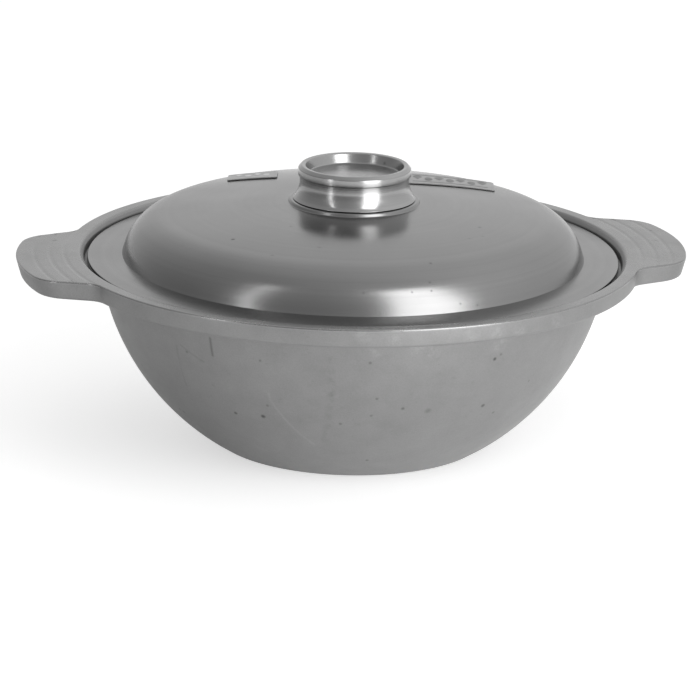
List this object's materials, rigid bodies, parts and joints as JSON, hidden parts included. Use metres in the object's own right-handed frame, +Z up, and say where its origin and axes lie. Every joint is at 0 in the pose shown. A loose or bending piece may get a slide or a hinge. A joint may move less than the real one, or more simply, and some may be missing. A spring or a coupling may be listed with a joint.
{
  "type": "lidded cooking pot",
  "caption": "Cast aluminium table pot with a rounded bowl, two wide lug handles and a domed lift-off lid with a turned knob.",
  "frame": {"origin": "centre of the flat base, on the surface that the pot stands on", "axes": "+X towards one lug handle along the line of both handles, +Z up along the pot's turned axis"},
  "size_m": [0.3556, 0.3024, 0.1475],
  "materials": {
    "cast_body": "matte blasted casting",
    "machined_lid": "satin, finely turned",
    "turned_knob": "semi-bright turned",
    "fastener": "plain steel",
    "label": "matte foil"
  },
  "bodies": {
    "pot": {"pot_body": "cast_body"},
    "lid": {"lid": "machined_lid", "knob": "turned_knob", "knob_screw": "fastener", "knob_washer": "fastener", "knob_spring_washer": "fastener", "label_left": "label", "label_right": "label"}
  },
  "joints": [
    {"name": "lid_lift", "type": "slide", "parent": "pot", "child": "lid", "axis": [0, 0, 1], "range_m": [0, 0.15]}
  ]
}
